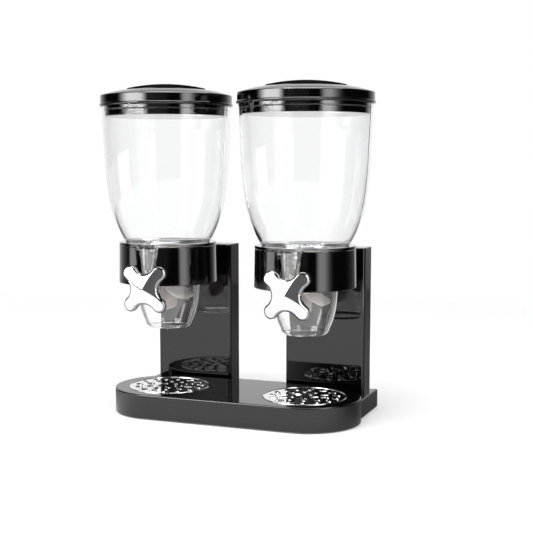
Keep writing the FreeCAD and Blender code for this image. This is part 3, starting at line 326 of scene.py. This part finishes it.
def polished_steel():
    """Polished stainless sheet with the fine scratches of daily wiping."""
    shader = Shader("polished_steel")
    first = scratches(shader, 2.4, 0.008, (1.0, 0.06, 1.0))
    second = scratches(shader, 2.9, 0.008, (0.07, 1.0, 1.0))
    marks = shader.math("MAXIMUM", first, second)
    haze = shader.noise(25.0, detail=3.0)
    rough = shader.math("ADD", shader.spread(haze, 0.35, 0.75, 0.03, 0.07),
                        shader.math("MULTIPLY", marks, 0.08))
    return shader.finish(shader.add("BsdfPrincipled", {
        "Base Color": shader.mix_colour(haze, grey(0.78), grey(0.84)),
        "Metallic": 1.0,
        "Roughness": rough,
        "Normal": shader.bump(marks, 0.002, 0.4),
    }))


def ground_steel(name, tone, rough, scale):
    """Turned or plated steel whose fine marks run along the short direction of scale."""
    shader = Shader(name)
    lines = shader.noise(0.5, detail=3.0, scale=scale, roughness=0.7)
    return shader.finish(shader.add("BsdfPrincipled", {
        "Base Color": shader.mix_colour(lines, grey(tone * 0.8), grey(tone)),
        "Metallic": 1.0,
        "Roughness": shader.spread(lines, 0.3, 0.7, rough * 0.8, rough * 1.3),
        "Normal": shader.bump(lines, 0.004, 0.5),
    }))


def bush_plastic():
    """Off-white bearing plastic."""
    shader = Shader("bush_plastic")
    skin = shader.noise(1.3, detail=3.0)
    return shader.finish(shader.add("BsdfPrincipled", {
        "Base Color": shader.mix_colour(skin, (0.76, 0.76, 0.73, 1.0), (0.82, 0.82, 0.79, 1.0)),
        "Roughness": shader.spread(skin, 0.3, 0.7, 0.35, 0.5),
        "Subsurface Weight": 0.15,
        "Subsurface Radius": (0.002, 0.002, 0.0015),
        "Normal": shader.bump(skin, 0.01, 0.4),
    }))


FINISHES = {
    "black_plastic": black_gloss(),
    "matte_black": black_grain(),
    "clear_plastic": clear_plastic(),
    "soft_silicone": silicone(),
    "seal_silicone": seal_rubber(),
    "knob_chrome": chrome(),
    "polished_steel": polished_steel(),
    "shaft_steel": ground_steel("shaft_steel", 0.62, 0.28, (0.2, 1.0, 0.2)),
    "screw_steel": ground_steel("screw_steel", 0.5, 0.35, (1.0, 1.0, 1.0)),
    "bush_plastic": bush_plastic(),
    "foot_rubber": foot_rubber(),
}

SLOT_OF = {entry["node"]: entry["material_slot"] for entry in frame["record"]["subparts"]}


def dress_nodes():
    """Give every CAD node the finish of its material slot."""
    for name, node in frame["nodes"].items():
        for slot in node.material_slots:
            slot.material = FINISHES[SLOT_OF[name]]


def new_object(name, data):
    """A new Blender object, linked to the scene."""
    item = bpy.data.objects.new(name, data)
    bpy.context.scene.collection.objects.link(item)
    return item


def new_mesh(name, corners, faces):
    """A mesh in metres."""
    mesh = bpy.data.meshes.new(name)
    mesh.from_pydata(corners, [], faces)
    return mesh


# ---------------------------------------------------------------- tray rims

RIM_BEAD = 0.0006
RIM_STEPS = 160
BEAD_STEPS = 8


def make_tray_rim(side):
    """The rolled edge that stands a little proud round a crumb tray."""
    low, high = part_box(f"{side}_crumb_tray")
    centre = (low + high) / 2
    reach = (high.x - low.x) / 2 - RIM_BEAD
    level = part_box("base_shell")[1].z
    points = BEAD_STEPS + 1
    corners = []
    faces = []
    for step in range(RIM_STEPS):
        turn = math.tau * step / RIM_STEPS
        following = (step + 1) % RIM_STEPS
        for rib in range(points):
            roll = math.pi * rib / BEAD_STEPS
            radius = reach + math.cos(roll) * RIM_BEAD
            corners.append((centre.x + math.cos(turn) * radius, centre.y + math.sin(turn) * radius,
                            level + math.sin(roll) * RIM_BEAD))
        for rib in range(BEAD_STEPS):
            here = step * points + rib
            ahead = following * points + rib
            faces.append((here, ahead, ahead + 1, here + 1))
    mesh = new_mesh(f"{side}_tray_rim", corners, faces)
    mesh.polygons.foreach_set("use_smooth", [True] * len(faces))
    mesh.materials.append(FINISHES["polished_steel"])
    rim = new_object(f"{side}_tray_rim", mesh)
    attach(rim, f"{side}_tray_unit")


# ---------------------------------------------------------------- knobs

# Lobes with a round end, and hollow waists that come this near to the shaft's axis.
LOBE_COUNT = 4
LOBE_RADIUS = 0.0086
WAIST_REACH = 0.0174
ARC_STEPS = 56
FRONT_RINGS = 72

# Each of the four facets falls away outward at this slope. Its direction, counted from the
# right, turns from the one at the knob's middle to the one at its rim.
FACET_SLOPE = 0.21
FACET_TURN_MIDDLE = math.radians(20)
FACET_TURN_RIM = math.radians(13)
RIDGE_WIDTH = 0.0014

# Millimetres in from the outline and down from the facets: the bevel and its rounded corners.
RIM_PROFILE = ((2.3, 0.0), (2.05, 0.12), (0.7, 1.1), (0.4, 1.4), (0.15, 1.8), (0.0, 2.3))

# Millimetres in from the outline and forward of the back: the rounded rear corner. Corners
# this near the back's plane, in metres, belong to the flat back.
BACK_PROFILE = ((0.0, 0.8), (0.2, 0.25), (0.7, 0.0))
BACK_TOLERANCE = 0.0001
SOCKET_RADIUS = 0.00356
SOCKET_DEPTH = 0.0075


def outline_arc(centre, radius, first, last, facing):
    """Points along a round stretch of an outline, each with its direction out of the piece.

    facing is 1 where the stretch bulges and -1 where it is hollow.
    """
    stations = []
    for step in range(ARC_STEPS):
        turn = first + (last - first) * step / ARC_STEPS
        spoke = Vector((math.cos(turn), math.sin(turn)))
        stations.append((centre + spoke * radius, spoke * facing))
    return stations


def knob_outline(reach):
    """Four round lobes on the diagonals, joined by hollow waists."""
    across = reach - LOBE_RADIUS
    spare = WAIST_REACH - across
    # The waist is the radius of the arc that touches the lobes on both sides of it.
    waist = (across ** 2 + spare ** 2 - LOBE_RADIUS ** 2) / (2 * (LOBE_RADIUS - spare))
    lean = math.atan2(across, WAIST_REACH + waist - across)
    quarter = math.pi / 2
    stations = outline_arc(Vector((across, across)), LOBE_RADIUS, -lean, quarter + lean, 1)
    stations += outline_arc(Vector((0, WAIST_REACH + waist)), waist, lean - quarter,
                            -lean - quarter, -1)
    outline = []
    for turn in range(LOBE_COUNT):
        rotation = Matrix.Rotation(math.tau / LOBE_COUNT * turn, 2)
        outline += [(rotation @ spot, rotation @ away) for spot, away in stations]
    return outline


def facet_fall(spot, reach):
    """How far out a point of the front lies on its facet, eased where two facets meet."""
    away = spot.length
    step = math.tau / LOBE_COUNT
    share = min(away / reach, 1.0)
    turn = FACET_TURN_MIDDLE + (FACET_TURN_RIM - FACET_TURN_MIDDLE) * share
    bearing = math.atan2(spot.y, spot.x) - turn
    bearing = abs(bearing - round(bearing / step) * step)
    first = away * math.cos(bearing)
    second = away * math.cos(step - bearing)
    overlap = max(RIDGE_WIDTH - (first - second), 0.0) / RIDGE_WIDTH
    return first + overlap ** 2 * RIDGE_WIDTH / 4


def knob_rings(reach, thickness):
    """The knob's surface as closed rings of points and heights above its back.

    They run from the middle of the front over the rim and the back into the shaft's socket.
    """
    outline = knob_outline(reach)

    def front(spot):
        return thickness - FACET_SLOPE * facet_fall(spot, reach)

    def inward(inset):
        return [edge - away * inset * MILLIMETRE for edge, away in outline]

    rings = []
    for step in range(FRONT_RINGS):
        share = (step + 1) / FRONT_RINGS
        rings.append([(spot * share, front(spot * share)) for spot in inward(RIM_PROFILE[0][0])])
    for inset, drop in RIM_PROFILE[1:]:
        rings.append([(spot, front(spot) - drop * MILLIMETRE) for spot in inward(inset)])
    for inset, height in BACK_PROFILE:
        rings.append([(spot, height * MILLIMETRE) for spot in inward(inset)])
    for height in (0.0, SOCKET_DEPTH):
        rings.append([(edge.normalized() * SOCKET_RADIUS, height) for edge, _ in outline])
    return rings


def make_knob(side):
    """The turn knob, with curved ridges and the wide bevel round its lobes."""
    low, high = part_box(f"{side}_knob")
    thickness = high.y - low.y
    reach = (high.x - low.x) / 2
    rings = knob_rings(reach, thickness)
    count = len(rings[0])
    middle = (low + high) / 2

    def seat(spot, height):
        return (middle.x + spot.x, high.y - height, middle.z + spot.y)

    nowhere = Vector((0, 0))
    corners = [seat(spot, height) for ring in rings for spot, height in ring]
    front_pole = len(corners)
    corners.append(seat(nowhere, thickness - FACET_SLOPE * facet_fall(nowhere, reach)))
    socket_pole = len(corners)
    corners.append(seat(nowhere, SOCKET_DEPTH))
    faces = []
    last = (len(rings) - 1) * count
    for step in range(count):
        ahead = (step + 1) % count
        faces.append((front_pole, step, ahead))
        faces.append((socket_pole, last + ahead, last + step))
        for base in range(0, last, count):
            faces.append((base + step, base + count + step, base + count + ahead, base + ahead))
    mesh = new_mesh(f"{side}_turn_knob", corners, faces)
    flat_from = high.y - BACK_TOLERANCE
    for face in mesh.polygons:
        at_back = all(mesh.vertices[index].co.y > flat_from for index in face.vertices)
        face.use_smooth = not at_back
    mesh.materials.append(FINISHES["knob_chrome"])
    knob = new_object(f"{side}_turn_knob", mesh)
    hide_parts(f"{side}_knob")
    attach(knob, f"{side}_wheel_unit")


# ---------------------------------------------------------------- studio

FLOOR_REACH = 6.0

# The floor's glow for the eye and its sheen in reflections. The sheen comes in between two
# places along Y, and behind them reflections show the paper darker, a painted shade.
FLOOR_GLOW = 0.13
FLOOR_SHEEN = 0.85
FLOOR_FRONT = (0.05, -0.12)
FLOOR_TONES = (0.84, 0.86)
FLOOR_SHADE_BEHIND = 0.35

# Distances over which the floor turns white for the eye, and turns into the backdrop in
# reflections.
FLOOR_FADE = (0.75, 1.3)
FLOOR_EDGE = (1.3, 1.5)

# The bearing of the white backdrop in reflections. Its light rises with the cosine of the angle
# from that bearing, between one pair of values in the world and another on the far floor, which
# is dimmer to the right.
BACKDROP_BEARING = (-0.36, 0.93, 0.0)
BACKDROP_DARK = 0.004
BACKDROP_EDGE = (0.45, 0.95)
HORIZON_EDGE = (0.05, 1.05)
HORIZON_RIGHT = (0.2, 0.34)
HORIZON_RIGHT_SHARE = 0.36

# The world's grey for all rays that are neither looked along nor mirrored.
AMBIENT = 0.6

# Reflector cards, by how far they stand from the middle of the stations. An edge is the share of
# a card's width over which its light falls off.
CARD_DISTANCE = 1.0
FAR_CARD_DISTANCE = 2.5
CARD_STEPS = 12
CARD_EDGE = 0.2
OVERHEAD_HEIGHT = 1.7
OVERHEAD_HALF_WIDTH = 0.8
OVERHEAD_FRONT = -0.5
OVERHEAD_REAR = 1.0
OVERHEAD_STRENGTH = 9.0

# Both lamps point at this height over the middle of the stations.
LAMP_AIM_HEIGHT = 0.15

# Where the camera stands from the middle of the stations, and how it is turned.
CAMERA_LENS = 72.0
CAMERA_SENSOR = 36.0
CAMERA_SHIFT = 0.063
CAMERA_RIGHT = 0.48355
CAMERA_AHEAD = 1.1573
CAMERA_HEIGHT = 0.2973
CAMERA_DOWN = math.radians(7.2)
CAMERA_TURN = math.radians(20.98)


def flat_sheet(name, corners):
    """An object of one flat face."""
    return new_object(name, new_mesh(name, corners, [(0, 1, 2, 3)]))


def looked_at(shader):
    """1 on rays from the eye, also through clear plastic, and 0 once they are reflected."""
    rays = shader.add("LightPath").outputs
    direct = shader.math("MAXIMUM", rays["Is Camera Ray"], rays["Is Transmission Ray"])
    return shader.math("MULTIPLY", direct, shader.math("LESS_THAN", rays["Glossy Depth"], 0.5))


def mirrored(shader):
    """1 on rays that a glossy surface has reflected."""
    return shader.math("GREATER_THAN", shader.add("LightPath").outputs["Glossy Depth"], 0.5)


def backdrop_level(shader, bearing, edge):
    """The backdrop behind the object as reflections show it: white, and dark to the front."""
    toward = shader.add("VectorMath", {0: bearing, 1: BACKDROP_BEARING}, operation="DOT_PRODUCT")
    return shader.spread(toward.outputs["Value"], *edge, BACKDROP_DARK, 1.0, smooth=True)


def near_floor(shader, eye, gloss):
    """The paper round the object, with its glow for the eye and its sheen in reflections."""
    ahead = shader.spread(shader.axes(shader.spot())["Y"], *FLOOR_FRONT, smooth=True)
    sheen = shader.math("MULTIPLY", gloss, ahead)
    behind = shader.math("SUBTRACT", gloss, sheen)
    fibre = shader.noise(3.0, detail=4.0)
    tone = shader.mix_colour(fibre, *[grey(level) for level in FLOOR_TONES])
    # Painted shade: in reflections the paper behind the sheen takes a darker grey.
    paper = shader.add("BsdfDiffuse", {
        "Color": shader.mix_colour(behind, tone, grey(FLOOR_SHADE_BEHIND)),
    })
    return shader.added(paper, shader.glow(shader.math(
        "ADD", shader.math("MULTIPLY", eye, FLOOR_GLOW),
        shader.math("MULTIPLY", sheen, FLOOR_SHEEN))))


def far_floor(shader):
    """The floor at a distance as reflections show it."""
    bearing = shader.add("VectorMath", {0: shader.spot()}, operation="NORMALIZE").outputs["Vector"]
    return shader.glow(shader.math(
        "MULTIPLY", backdrop_level(shader, bearing, HORIZON_EDGE),
        shader.spread(shader.axes(bearing)["X"], *HORIZON_RIGHT, 1.0, HORIZON_RIGHT_SHARE,
                      smooth=True)))


def floor_paper():
    """White paper that takes the object's shadow and fades into plain white far away."""
    shader = Shader("floor_paper")
    distance = shader.add("VectorMath", {0: shader.spot()}, operation="LENGTH").outputs["Value"]
    eye = looked_at(shader)
    gloss = mirrored(shader)
    faded = shader.math("MULTIPLY", eye, shader.spread(distance, *FLOOR_FADE, smooth=True))
    near = shader.blended(faded, near_floor(shader, eye, gloss), shader.glow(1.0))
    far = shader.math("MULTIPLY", gloss, shader.spread(distance, *FLOOR_EDGE, smooth=True))
    return shader.finish(shader.blended(far, near, far_floor(shader)))


def make_floor():
    """The level floor under the feet."""
    floor = flat_sheet("floor", [
        (-FLOOR_REACH, -FLOOR_REACH, 0), (FLOOR_REACH, -FLOOR_REACH, 0),
        (FLOOR_REACH, FLOOR_REACH, 0), (-FLOOR_REACH, FLOOR_REACH, 0),
    ])
    floor.data.materials.append(floor_paper())


def make_world():
    """White backdrop for the eye and through glass; a dark studio in front for reflections."""
    world = bpy.data.worlds.new("studio")
    world.use_nodes = True
    bpy.context.scene.world = world
    shader = Shader(tree=world.node_tree)
    bearing = shader.add("TexCoord").outputs["Generated"]
    ambient = shader.mix_colour(mirrored(shader), grey(AMBIENT),
                                backdrop_level(shader, bearing, BACKDROP_EDGE))
    light = shader.mix_colour(looked_at(shader), ambient, grey(1.0))
    shader.finish(shader.add("Background", {"Color": light, "Strength": 1.0}), "OutputWorld")


def bearing_point(azimuth, distance, height):
    """The point at a compass bearing round the stations; 0 is the front and 90 is to the right."""
    turn = math.radians(azimuth)
    return Vector((math.sin(turn) * distance, STATION_Y - math.cos(turn) * distance, height))


def card_glow(name, strength, edge):
    """Light of a reflector card that falls off softly at its upright edges."""
    shader = Shader(name)
    across = shader.axes(shader.add("TexCoord").outputs["Generated"])["X"]
    from_edge = shader.math("MINIMUM", across, shader.math("SUBTRACT", 1.0, across))
    soft = shader.spread(from_edge, 0.0, edge, smooth=True)
    glow = shader.glow(shader.math("MULTIPLY", soft, strength))
    return shader.finish(shader.added(glow, shader.add("BsdfTransparent")))


def set_up_card(card, strength, edge):
    """Light a card and hide it from all but reflections."""
    card.data.materials.append(card_glow(card.name, strength, edge))
    card.visible_camera = False
    card.visible_diffuse = False
    card.visible_shadow = False


def make_card(name, azimuths, heights, strength, edge=CARD_EDGE, distance=CARD_DISTANCE):
    """A card that curves round the object between two bearings and two heights."""
    corners = []
    for step in range(CARD_STEPS + 1):
        azimuth = azimuths[0] + (azimuths[1] - azimuths[0]) * step / CARD_STEPS
        corners += [bearing_point(azimuth, distance, height) for height in heights]
    faces = [(2 * step, 2 * step + 2, 2 * step + 3, 2 * step + 1) for step in range(CARD_STEPS)]
    set_up_card(new_object(name, new_mesh(name, corners, faces)), strength, edge)


def make_overhead_card():
    """A level card above the object for the fine highlights along its upper edges."""
    card = flat_sheet("card_overhead", [
        (-OVERHEAD_HALF_WIDTH, OVERHEAD_FRONT, OVERHEAD_HEIGHT),
        (OVERHEAD_HALF_WIDTH, OVERHEAD_FRONT, OVERHEAD_HEIGHT),
        (OVERHEAD_HALF_WIDTH, OVERHEAD_REAR, OVERHEAD_HEIGHT),
        (-OVERHEAD_HALF_WIDTH, OVERHEAD_REAR, OVERHEAD_HEIGHT),
    ])
    set_up_card(card, OVERHEAD_STRENGTH, CARD_EDGE)


def make_lamp(name, azimuth, distance, height, size, power):
    """A square lamp that points at the object and shows in no reflection."""
    lamp = bpy.data.lights.new(name, "AREA")
    lamp.size = size
    lamp.energy = power
    item = new_object(name, lamp)
    item.location = bearing_point(azimuth, distance, height)
    target = Vector((0, STATION_Y, LAMP_AIM_HEIGHT))
    item.rotation_euler = (target - item.location).to_track_quat("-Z", "Y").to_euler()
    item.visible_glossy = False
    item.visible_transmission = False


def make_camera():
    """The camera, a little above the object and to its right."""
    camera = bpy.data.cameras.new("camera")
    camera.sensor_width = CAMERA_SENSOR
    camera.lens = CAMERA_LENS
    camera.shift_y = CAMERA_SHIFT
    item = new_object("camera", camera)
    item.location = (CAMERA_RIGHT, STATION_Y - CAMERA_AHEAD, CAMERA_HEIGHT)
    item.rotation_euler = (math.pi / 2 - CAMERA_DOWN, 0, CAMERA_TURN)
    bpy.context.scene.camera = item


# ---------------------------------------------------------------- scene

dress_nodes()
for side_name in SIDES:
    make_tray_rim(side_name)
for side_name in SIDES:
    make_knob(side_name)

make_floor()
make_world()
make_card("card_upper_left", (-66, -9), (0.35, 1.1), strength=16.0, edge=0.33)
make_card("card_lower_left", (-79, -48), (0.0, 0.27), strength=4.0)
make_card("card_upper_right", (43, 86), (0.35, 1.1), strength=6.4, edge=0.45)
make_card("card_lower_right", (44, 88), (0.0, 0.35), strength=4.2, edge=0.4)
make_card("card_front", (-16, 5), (0.42, 1.1), strength=0.13, edge=0.3)
make_card("card_low_front", (-36, -14), (0.05, 0.35), strength=1.5, edge=0.3)
make_card("card_knob", (-14, 30), (0.02, 0.8), strength=0.15, distance=FAR_CARD_DISTANCE)
make_overhead_card()
make_lamp("key", azimuth=-25, distance=0.9, height=2.0, size=1.6, power=34.0)
make_lamp("fill", azimuth=60, distance=1.7, height=1.2, size=1.0, power=16.0)
make_camera()
bpy.context.scene.view_settings.view_transform = "Standard"
